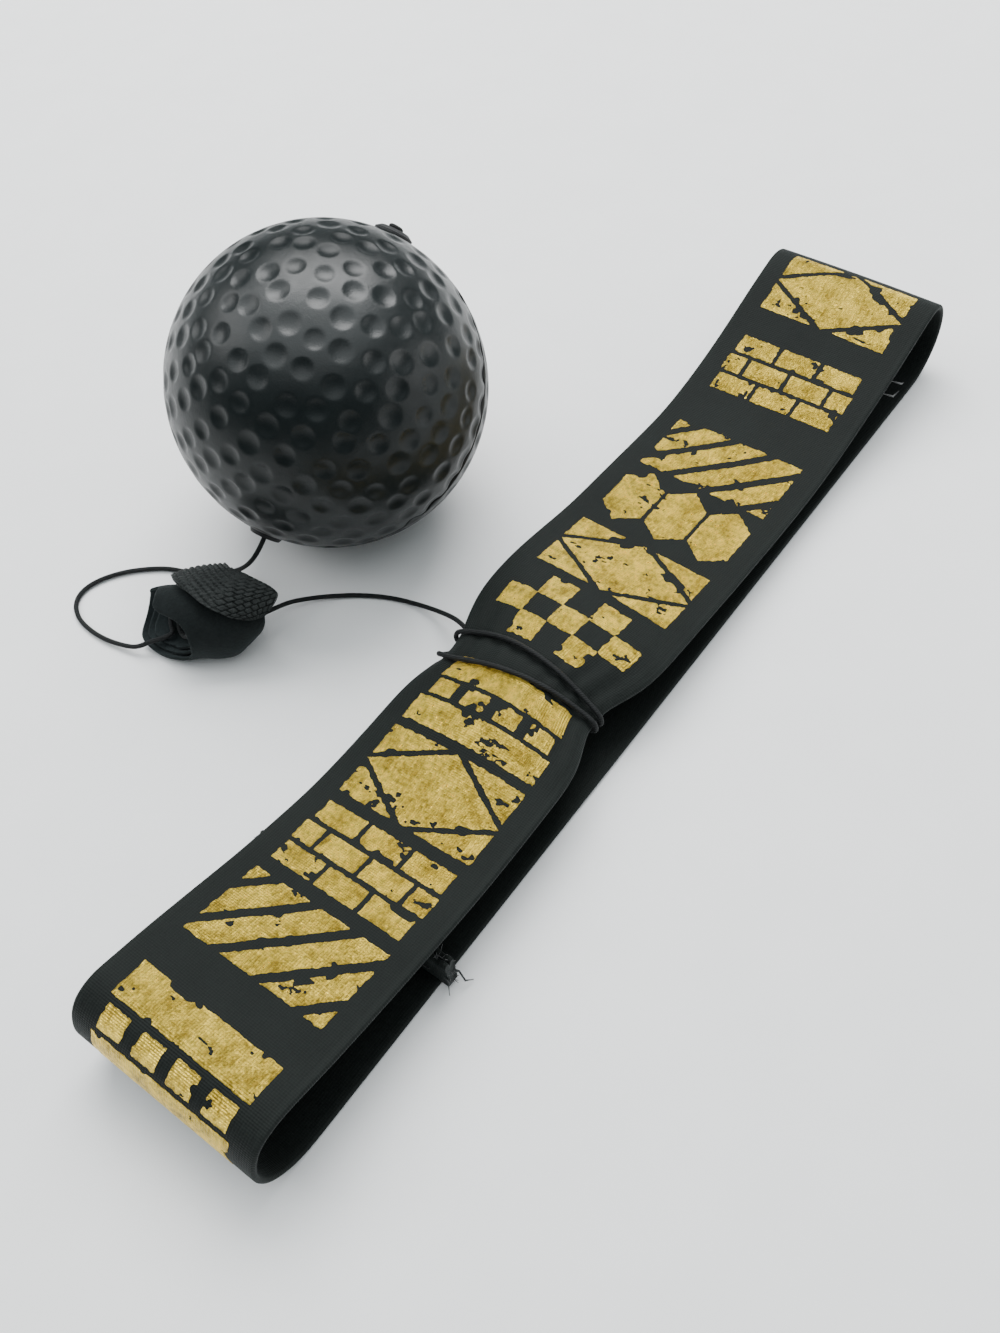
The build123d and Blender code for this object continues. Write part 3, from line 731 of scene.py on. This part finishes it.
def make_tab():
    """The hook tab: ribs of hooks near its fold, and a coarse woven grid near its free corner."""
    rows, columns = 150, 130
    control = np.array([[keeper_point(*spot) for spot in row] for row in TAB_ROWS])
    across = np.stack([open_curve(row, columns) for row in control])
    sheet = np.stack([open_curve(across[:, k], rows) for k in range(columns)], axis=1)
    along_row = np.gradient(sheet, axis=0)
    along_column = np.gradient(sheet, axis=1)
    normal = np.cross(along_row, along_column)
    normal /= np.linalg.norm(normal, axis=-1, keepdims=True)
    outward = sheet - (KEEPER_MOUTH + ((sheet - KEEPER_MOUTH) @ keeper_dir)[..., None] * keeper_dir)
    normal *= np.sign(np.sum(normal * outward, axis=-1, keepdims=True))
    row_mm = np.cumsum(np.linalg.norm(along_row, axis=-1).mean(axis=1))
    column_mm = np.cumsum(np.linalg.norm(along_column, axis=-1).mean(axis=0))
    depth, width = np.meshgrid(row_mm, column_mm, indexing="ij")
    wobble = 0.25 * layered_noise(depth * 0.3, width * 0.3, 4, 2)
    ribs = 0.34 * np.abs(np.sin(math.pi * (width / 1.15 + 0.12 * depth + wobble))) ** 0.8
    ribs += 0.08 * np.sin(depth * 6.5 + 3 * value_noise(depth, width, 6))
    stagger = np.floor(depth / 1.15) % 2 * 0.5
    brick_u = np.abs(np.sin(math.pi * (width / 1.7 + stagger)))
    brick_v = np.abs(np.sin(math.pi * depth / 1.15))
    grid = 0.42 * np.minimum(smooth_step(brick_u * 2.2), smooth_step(brick_v * 2.2))
    change = smooth_step((depth / row_mm[-1] + 0.35 * width / column_mm[-1] - 0.72) / 0.16)
    fuzz = 0.12 * layered_noise(depth * 2.4, width * 2.4, 11, 3)
    relief = (1 - change) * ribs + change * grid + fuzz
    top = sheet + normal * (0.42 + relief)[..., None]
    bottom = sheet - normal * (0.42 + 0.4 * fuzz)[..., None]
    points = np.vstack([top.reshape(-1, 3), bottom.reshape(-1, 3)])
    faces, corners = grid_faces(rows, columns)
    flipped, _ = grid_faces(rows, columns, offset=rows * columns)
    uv = [(row_mm[i], column_mm[j]) for i, j in corners]
    faces_all = faces + [face[::-1] for face in flipped]
    uvs = uv + [pair for k in range(0, len(uv), 4) for pair in uv[k : k + 4][::-1]]
    border = [(0, j) for j in range(columns)] + [(i, columns - 1) for i in range(1, rows)]
    border += [(rows - 1, j) for j in range(columns - 2, -1, -1)] + [(i, 0) for i in range(rows - 2, 0, -1)]
    for (i, j), (k, m) in zip(border, border[1:] + border[:1]):
        a, b = i * columns + j, k * columns + m
        faces_all.append([b, a, a + rows * columns, b + rows * columns])
        uvs += [(row_mm[k], column_mm[m]), (row_mm[i], column_mm[j])]
        uvs += [(row_mm[i], column_mm[j]), (row_mm[k], column_mm[m])]
    made = mesh_object("keeper_hook_flap", points, faces_all, uvs, body="keeper_tab")
    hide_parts("keeper_hook_tab")
    return made


roll_strap = make_roll()
hook_tab = make_tab()


# --- seams ------------------------------------------------------------------
def tube_points(path, radius, sides=6):
    """The points and faces of a thin thread along a path, in mm."""
    path = [Vector(p) for p in path]
    points = []
    for k, place in enumerate(path):
        ahead = path[min(k + 1, len(path) - 1)] - path[max(k - 1, 0)]
        first = ahead.orthogonal().normalized()
        second = ahead.normalized().cross(first)
        taper = 0.45 if k in (0, len(path) - 1) else 1.0
        for side in range(sides):
            angle = 2 * math.pi * side / sides
            points.append(place + (first * math.cos(angle) + second * math.sin(angle)) * radius * taper)
    rows = len(path)
    faces, _ = grid_faces(rows, sides, False, True)
    faces.append(list(range(sides))[::-1])
    faces.append([(rows - 1) * sides + k for k in range(sides)])
    return points, faces


def thread_object(name, paths, radius, node=None, sides=6):
    points, faces = [], []
    for path in paths:
        more, quads = tube_points(path, radius, sides)
        faces += [[len(points) + index for index in quad] for quad in quads]
        points += more
    made = mesh_object(name, [tuple(p) for p in points], faces)
    if node:
        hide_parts(node)
    return made


def fin_shape(y, t):
    """The fin's lean at y, t of the way up."""
    return 0.5 * math.sin(y / 9.0) * t * t + 0.35 * t


def make_fin():
    """The two sewn ends of the tape, standing on the lower run, soft at their cut edge."""
    stations = np.linspace(-61.2, -18.2, 90)
    outline = [(-1.15, 0.0), (-1.2, 0.18), (-1.1, 0.5), (-1.2, 0.8), (-1.15, 0.93), (-0.9, 1.0), (-0.45, 1.0)]
    outline += [(-0.1, 0.94), (0.0, 0.86), (0.1, 0.94)]
    outline += [(-x, t) for x, t in reversed(outline[:7])]
    points = []
    for y in stations:
        top = 8.3 + 0.35 * math.sin(y * 1.1) + 0.25 * math.sin(y * 2.7 + 1)
        for x, t in outline:
            pinch = 1 - 0.22 * bump(t * top, 3.2, 0.7)
            points.append((FIN_X + x * pinch + fin_shape(y, t), y, 0.9 + (top - 0.9) * t))
    faces, corners = grid_faces(len(stations), len(outline))
    uvs = [(outline[j][1] * 8, stations[i]) for i, j in corners]
    for end in (0, len(stations) - 1):
        cap = [end * len(outline) + k for k in range(len(outline))]
        faces.append(cap if end else cap[::-1])
        uvs += [(outline[k % len(outline)][1] * 8, stations[end]) for k in range(len(outline))]
    made = mesh_object("headband_seam_fin", points, faces, uvs)
    return made


fin = make_fin()


def seam_paths():
    paths = []
    for k in range(11):
        y = -57.5 + 3.6 * k
        for side in (-1, 1):
            face = FIN_X + side * 0.98 + fin_shape(y, 0.3)
            spots = [(0.0, 0.0, 3.2), (0.22, 0.5, 3.25), (0.24, 1.6, 3.2), (0.0, 2.3, 3.15)]
            paths.append([(face + side * out, y + run, z) for out, run, z in spots])
    long_end = [(0.9, -59.5, 3.2), (1.6, -61.4, 2.6), (1.2, -62.9, 1.4), (2.4, -63.6, 0.5)]
    short_end = [(-0.6, -59.4, 4.1), (-1.4, -61.6, 3.6), (-2.6, -62.6, 2.2)]
    for loose in (long_end, short_end):
        paths.append([(FIN_X + x, y, z) for x, y, z in loose])
    for place, tip in ((85.0, 5.2), (88.5, 3.6)):
        s = station(place)
        base = tape_point(np.array([s]), np.array([-19.9]), np.array([-0.6]))[0]
        paths.append([base, base + (0.6, -1.0, -0.4), base + (1.9, -1.7, -1.4), base + (tip, -1.6, -2.4)])
    return paths


seam_thread = thread_object("headband_seam_stitches", seam_paths(), 0.2, "headband_seam_thread")


def fray_paths():
    """Short loose yarn ends along the fin's cut edge and at its two ends."""
    paths = []
    frays = random.Random(5)
    for _ in range(150):
        y = frays.uniform(-61.0, -18.4)
        x = FIN_X + frays.uniform(-1.0, 1.0) + fin_shape(y, 1.0)
        base = Vector((x, y, 8.0))
        lean = Vector((frays.gauss(0, 0.45), frays.gauss(0, 0.4), frays.uniform(0.5, 1.0)))
        paths.append([base, base + lean * 0.7, base + lean * 1.25 + Vector((frays.gauss(0, 0.2), 0, 0))])
    for _ in range(46):
        end = frays.choice((-61.1, -18.3))
        base = Vector((FIN_X + frays.uniform(-1.0, 1.0), end, frays.uniform(1.6, 8.0)))
        away = -1 if end < -40 else 1
        lean = Vector((frays.gauss(0, 0.4), away * frays.uniform(0.5, 1.3), frays.gauss(0, 0.35)))
        paths.append([base, base + lean * 0.6, base + lean])
    return paths


frays = thread_object("headband_seam_frays", fray_paths(), 0.07, sides=4)


def tab_stitch_paths():
    paths = []
    for k in range(5):
        along = 2.6 + 2.7 * k
        spots = [(along, 9, 7.9), (along + 0.6, 9, 8.35), (along + 1.8, 9, 8.35), (along + 2.4, 9, 7.9)]
        paths.append([keeper_point(*spot) for spot in spots])
    return paths


tab_thread = thread_object("keeper_tab_stitches", tab_stitch_paths(), 0.24, "keeper_tab_thread")


# --- materials --------------------------------------------------------------
def new_material(name, **sockets):
    material = bpy.data.materials.new(name)
    material.use_nodes = True
    shader = material.node_tree.nodes["Principled BSDF"]
    for key, value in sockets.items():
        shader.inputs[key.replace("_", " ")].default_value = value
    return material, material.node_tree, shader


def node(tree, kind, links=None, **values):
    """A node of that kind, with these sockets linked and its own properties set."""
    made = tree.nodes.new(kind)
    for key, value in values.items():
        setattr(made, key, value)
    for key, source in (links or {}).items():
        tree.links.new(source, made.inputs[key])
    return made


def maths(tree, operation, first, second=0.0, clamp=False):
    made = tree.nodes.new("ShaderNodeMath")
    made.operation = operation
    made.use_clamp = clamp
    for socket, value in zip(made.inputs, (first, second)):
        if isinstance(value, (int, float)):
            socket.default_value = value
        else:
            tree.links.new(value, socket)
    return made.outputs[0]


def total_of(tree, *weighted):
    """The sum of these (source, weight) pairs."""
    total = 0.0
    for source, weight in weighted:
        total = maths(tree, "ADD", total, maths(tree, "MULTIPLY", source, weight))
    return total


def coordinates(tree, kind):
    return tree.nodes.new("ShaderNodeTexCoord").outputs[kind]


def ramp(tree, source, stops):
    made = tree.nodes.new("ShaderNodeValToRGB")
    tree.links.new(source, made.inputs[0])
    elements = made.color_ramp.elements
    while len(elements) < len(stops):
        elements.new(0.5)
    for element, (place, colour) in zip(elements, stops):
        element.position = place
        element.color = (*colour, 1.0)
    return made.outputs[0]


def grey(value):
    return (value, value, value)


def feed(tree, shader, socket, source, *stops):
    """Runs one of the shader's inputs through these stops, numbers or colours, as the source rises."""
    shades = [(place, value if isinstance(value, tuple) else grey(value)) for place, value in stops]
    tree.links.new(ramp(tree, source, shades), shader.inputs[socket])


def noise(tree, place, scale, detail=3.0, roughness=0.55):
    made = tree.nodes.new("ShaderNodeTexNoise")
    tree.links.new(place, made.inputs["Vector"])
    made.inputs["Scale"].default_value = scale
    made.inputs["Detail"].default_value = detail
    made.inputs["Roughness"].default_value = roughness
    return made.outputs["Fac"]


def add_bump(tree, shader, height, strength, distance):
    made = tree.nodes.new("ShaderNodeBump")
    made.inputs["Strength"].default_value = strength
    made.inputs["Distance"].default_value = distance
    tree.links.new(height, made.inputs["Height"])
    tree.links.new(made.outputs[0], shader.inputs["Normal"])


def beyond_centre(tree, place, axis):
    """How far the ball's surface lies from its centre along this axis, in mm."""
    dot = node(tree, "ShaderNodeVectorMath", {0: place}, operation="DOT_PRODUCT")
    dot.inputs[1].default_value = tuple(axis)
    height = maths(tree, "MULTIPLY", dot.outputs["Value"], 1000.0)
    return maths(tree, "SUBTRACT", height, float(BALL_CENTRE @ axis))


def ball_rubber():
    """Black rubber, with painted shade in its seam groove and a painted highlight: more specular on the side
    turned towards the lamp than below.
    """
    material, tree, shader = new_material("ball_rubber")
    place = coordinates(tree, "Object")
    # Painted highlight: the specular level follows how far the ball turns towards the lamp. It is highest in
    # a broad band where the highlight falls, and low below it and at the top edge.
    lamp_side_axis = np.array((0.35, 0.30, 0.89))
    level = maths(tree, "DIVIDE", beyond_centre(tree, place, lamp_side_axis), BALL_RADIUS)
    painted_highlight = ((0.40, 0.23), (0.56, 0.22), (0.74, 0.56), (0.86, 0.54), (0.95, 0.18))
    feed(tree, shader, "Specular IOR Level", total_of(tree, (level, 0.5), (0.5, 1.0)), *painted_highlight)
    mottle = noise(tree, place, 130, 4)
    mottle_tone = ramp(tree, mottle, [(0.3, (0.0036, 0.0060, 0.0063)), (0.7, (0.0070, 0.0103, 0.0107))])
    # Painted shade: within about half a millimetre of the seam plane the base colour is darkened to about an
    # eighth, as shade in the seam's groove.
    gap = maths(tree, "ABSOLUTE", beyond_centre(tree, place, seam_normal))
    seam_painted_shade = ramp(tree, gap, [(0.34, grey(0.12)), (0.6, grey(1.0))])
    both = {6: mottle_tone, 7: seam_painted_shade}
    mottle_and_seam_shade = node(tree, "ShaderNodeMix", both, data_type="RGBA", blend_type="MULTIPLY")
    mottle_and_seam_shade.inputs[0].default_value = 1.0
    tree.links.new(mottle_and_seam_shade.outputs[2], shader.inputs["Base Color"])
    scuff = noise(tree, place, 420, 5, 0.65)
    feed(tree, shader, "Roughness", scuff, (0.3, 0.31), (0.75, 0.42))
    grain = total_of(tree, (noise(tree, place, 3200, 2), 1.0), (noise(tree, place, 500, 3), 1.4))
    add_bump(tree, shader, grain, 0.22, 0.00012)
    return material


def dark_rubber():
    material, tree, shader = new_material("eyelet_rubber", Specular_IOR_Level=0.4)
    place = coordinates(tree, "Object")
    mottle = noise(tree, place, 500, 4)
    feed(tree, shader, "Base Color", mottle, (0.3, (0.008, 0.009, 0.0095)), (0.7, (0.02, 0.021, 0.022)))
    feed(tree, shader, "Roughness", mottle, (0.2, 0.5), (0.8, 0.72))
    add_bump(tree, shader, noise(tree, place, 1500, 4), 0.5, 0.0002)
    return material


YARN_ALONG, YARN_ACROSS = 0.44, 0.52


def weave_height(tree, parts, share):
    """The woven surface's rise and fall, this share of it along the tape."""
    along = maths(tree, "SINE", maths(tree, "MULTIPLY", parts[0], 2 * math.pi / YARN_ALONG))
    across = maths(tree, "SINE", maths(tree, "MULTIPLY", parts[1], 2 * math.pi / YARN_ACROSS))
    return total_of(tree, (along, share), (across, 1 - share))


def tape_fabric():
    """Woven elastic: fine ribs along and across the tape, a denser selvage, and a soft sheen."""
    material, tree, shader = new_material(
        "tape_fabric",
        Specular_IOR_Level=0.13,
        Sheen_Weight=0.05,
        Sheen_Roughness=0.45,
        Sheen_Tint=(0.75, 0.85, 0.85, 1),
    )
    uv = coordinates(tree, "UV")
    parts = node(tree, "ShaderNodeSeparateXYZ", {"Vector": uv}).outputs
    weave = weave_height(tree, parts, 0.55)
    yarn = noise(tree, uv, 1.1, 4, 0.6)
    height = total_of(tree, (weave, 0.35), (yarn, 1.0))
    add_bump(tree, shader, height, 0.55, 0.00018)
    selvage = maths(tree, "GREATER_THAN", maths(tree, "ABSOLUTE", parts[1]), 18.6)
    dust = maths(tree, "SUBTRACT", noise(tree, uv, 0.08, 3), 0.5)
    tone = total_of(tree, (weave, 0.14), (yarn, 0.9), (selvage, 0.12), (dust, 0.4))
    feed(tree, shader, "Base Color", tone, (0.2, (0.0041, 0.0056, 0.0050)), (0.8, (0.0112, 0.0142, 0.0128)))
    feed(tree, shader, "Roughness", yarn, (0.3, 0.62), (0.8, 0.8))
    return material


def gold_foil():
    """Pressed gold film that takes the weave's grain, duller and browner where it is worn thin."""
    material, tree, shader = new_material("gold_foil", Metallic=1.0)
    uv = coordinates(tree, "UV")
    parts = node(tree, "ShaderNodeSeparateXYZ", {"Vector": uv}).outputs
    weave = weave_height(tree, parts, 0.5)
    crinkle = noise(tree, uv, 1.15, 4, 0.6)
    patches = noise(tree, uv, 0.25, 4, 0.6)
    tone = total_of(tree, (crinkle, 0.5), (patches, 0.6))
    brown, dull, bright = (0.10, 0.060, 0.009), (0.42, 0.285, 0.036), (0.96, 0.69, 0.105)
    feed(tree, shader, "Base Color", tone, (0.3, brown), (0.45, dull), (0.64, bright))
    feed(tree, shader, "Roughness", crinkle, (0.3, 0.45), (0.7, 0.25))
    height = total_of(tree, (weave, 0.3), (crinkle, 1.5))
    add_bump(tree, shader, height, 0.9, 0.0004)
    return material


def cord_cover():
    """The cord's fine braided cover."""
    material, tree, shader = new_material(
        "cord_cover", Specular_IOR_Level=0.18, Sheen_Weight=0.03, Sheen_Roughness=0.5
    )
    place = coordinates(tree, "Object")
    braid = tree.nodes.new("ShaderNodeTexWave")
    braid.wave_type = "BANDS"
    braid.bands_direction = "DIAGONAL"
    tree.links.new(place, braid.inputs["Vector"])
    braid.inputs["Scale"].default_value = 900
    braid.inputs["Distortion"].default_value = 3.0
    fuzz = noise(tree, place, 1800, 3)
    height = maths(tree, "ADD", braid.outputs["Fac"], fuzz)
    add_bump(tree, shader, height, 0.6, 0.0001)
    feed(tree, shader, "Base Color", fuzz, (0.3, (0.005, 0.0058, 0.006)), (0.7, (0.013, 0.0145, 0.0148)))
    feed(tree, shader, "Roughness", fuzz, (0.3, 0.55), (0.7, 0.72))
    return material


def loop_pile():
    """Brushed velvety loop pile outside, and the strap's greyer woven backing inside."""
    material, tree, shader = new_material(
        "loop_pile",
        Specular_IOR_Level=0.1,
        Sheen_Weight=0.07,
        Sheen_Roughness=0.5,
        Sheen_Tint=(0.7, 0.82, 0.82, 1),
    )
    place = coordinates(tree, "Object")
    strip = node(tree, "ShaderNodeSeparateXYZ", {"Vector": coordinates(tree, "UV")}).outputs[1]
    backing = maths(tree, "GREATER_THAN", strip, 50.0)
    fluff = noise(tree, place, 1500, 5, 0.7)
    soft = noise(tree, place, 170, 3)
    tone = total_of(tree, (fluff, 0.6), (soft, 0.4))
    pile = ramp(tree, tone, [(0.3, (0.0045, 0.006, 0.0062)), (0.7, (0.013, 0.016, 0.0162))])
    woven = ramp(tree, tone, [(0.3, (0.010, 0.0135, 0.014)), (0.7, (0.024, 0.030, 0.031))])
    face = node(tree, "ShaderNodeMix", {0: backing, 6: pile, 7: woven}, data_type="RGBA")
    tree.links.new(face.outputs[2], shader.inputs["Base Color"])
    feed(tree, shader, "Roughness", fluff, (0.2, 0.85), (0.8, 0.97))
    add_bump(tree, shader, fluff, 0.7, 0.00025)
    return material


def hook_weave():
    """The hook tab's coarse woven face."""
    material, tree, shader = new_material("hook_weave", Specular_IOR_Level=0.22)
    uv = coordinates(tree, "UV")
    grain = noise(tree, uv, 2.6, 5, 0.7)
    pits = noise(tree, uv, 0.9, 3)
    tone = total_of(tree, (grain, 0.7), (pits, 0.3))
    feed(tree, shader, "Base Color", tone, (0.35, (0.003, 0.004, 0.004)), (0.66, (0.027, 0.032, 0.031)))
    feed(tree, shader, "Roughness", grain, (0.3, 0.45), (0.7, 0.75))
    add_bump(tree, shader, grain, 0.8, 0.0002)
    return material


def thread_yarn():
    material, tree, shader = new_material("thread_yarn", Specular_IOR_Level=0.3, Sheen_Weight=0.3)
    place = coordinates(tree, "Object")
    twist = noise(tree, place, 2600, 3)
    feed(tree, shader, "Base Color", twist, (0.3, (0.008, 0.009, 0.009)), (0.7, (0.035, 0.038, 0.038)))
    feed(tree, shader, "Roughness", twist, (0.3, 0.6), (0.7, 0.8))
    add_bump(tree, shader, twist, 0.6, 0.0001)
    return material


def floor_paper():
    material, tree, shader = new_material("floor_paper", Roughness=0.9, Specular_IOR_Level=0.2)
    place = coordinates(tree, "Object")
    speck = noise(tree, place, 60, 3)
    feed(tree, shader, "Base Color", speck, (0.3, 0.92), (0.7, 0.945))
    return material


def dress(material, *objects):
    for made in objects:
        made.data.materials.clear()
        made.data.materials.append(material)


cover, rubber = cord_cover(), dark_rubber()
dress(cover, cord, hitch_knot, end_knot, nodes["cord_in_ball"])
dress(ball_rubber(), *ball_halves)
dress(rubber, nodes["ball_exit_eyelet"], nodes["ball_end_washer"])
dress(tape_fabric(), tape, fin)
dress(gold_foil(), *films)
dress(loop_pile(), roll_strap)
dress(hook_weave(), hook_tab)
dress(thread_yarn(), seam_thread, frays, tab_thread)

# --- stage ------------------------------------------------------------------
floor_data = bpy.data.meshes.new("floor")
floor_data.from_pydata([(-3, -3, 0), (3, -3, 0), (3, 3, 0), (-3, 3, 0)], [], [(0, 1, 2, 3)])
floor = new_object("floor", floor_data)
floor.location.z = -0.0002
dress(floor_paper(), floor)


def soft_light(name, place, size, energy, target=(0, 0, 0)):
    data = bpy.data.lights.new(name, "AREA")
    data.shape = "RECTANGLE"
    data.size, data.size_y = size
    data.energy = energy
    light = new_object(name, data)
    light.location = place
    light.rotation_euler = (Vector(target) - Vector(place)).to_track_quat("-Z", "Y").to_euler()


soft_light("overhead", (0.46, 0.30, 0.82), (0.9, 0.7), 15, target=(0, 0, 0.02))
soft_light("far_side", (-0.35, 0.85, 0.75), (0.8, 0.5), 3.5)
soft_light("low_fill", (0.35, -0.75, 0.22), (0.7, 0.3), 2)


def room_light():
    """The room: a bright ceiling over dim walls."""
    world = bpy.data.worlds.new("world")
    world.use_nodes = True
    tree = world.node_tree
    place = coordinates(tree, "Generated")
    height = node(tree, "ShaderNodeSeparateXYZ", {"Vector": place}).outputs[2]
    walls, ceiling = [(0.1, (0.075, 0.087, 0.09)), (0.66, (0.13, 0.15, 0.155))], (0.84, (1.0, 1.06, 1.08))
    shade = ramp(tree, height, [*walls, ceiling])
    tree.links.new(shade, tree.nodes["Background"].inputs["Color"])
    tree.nodes["Background"].inputs["Strength"].default_value = 1.7
    bpy.context.scene.world = world


room_light()
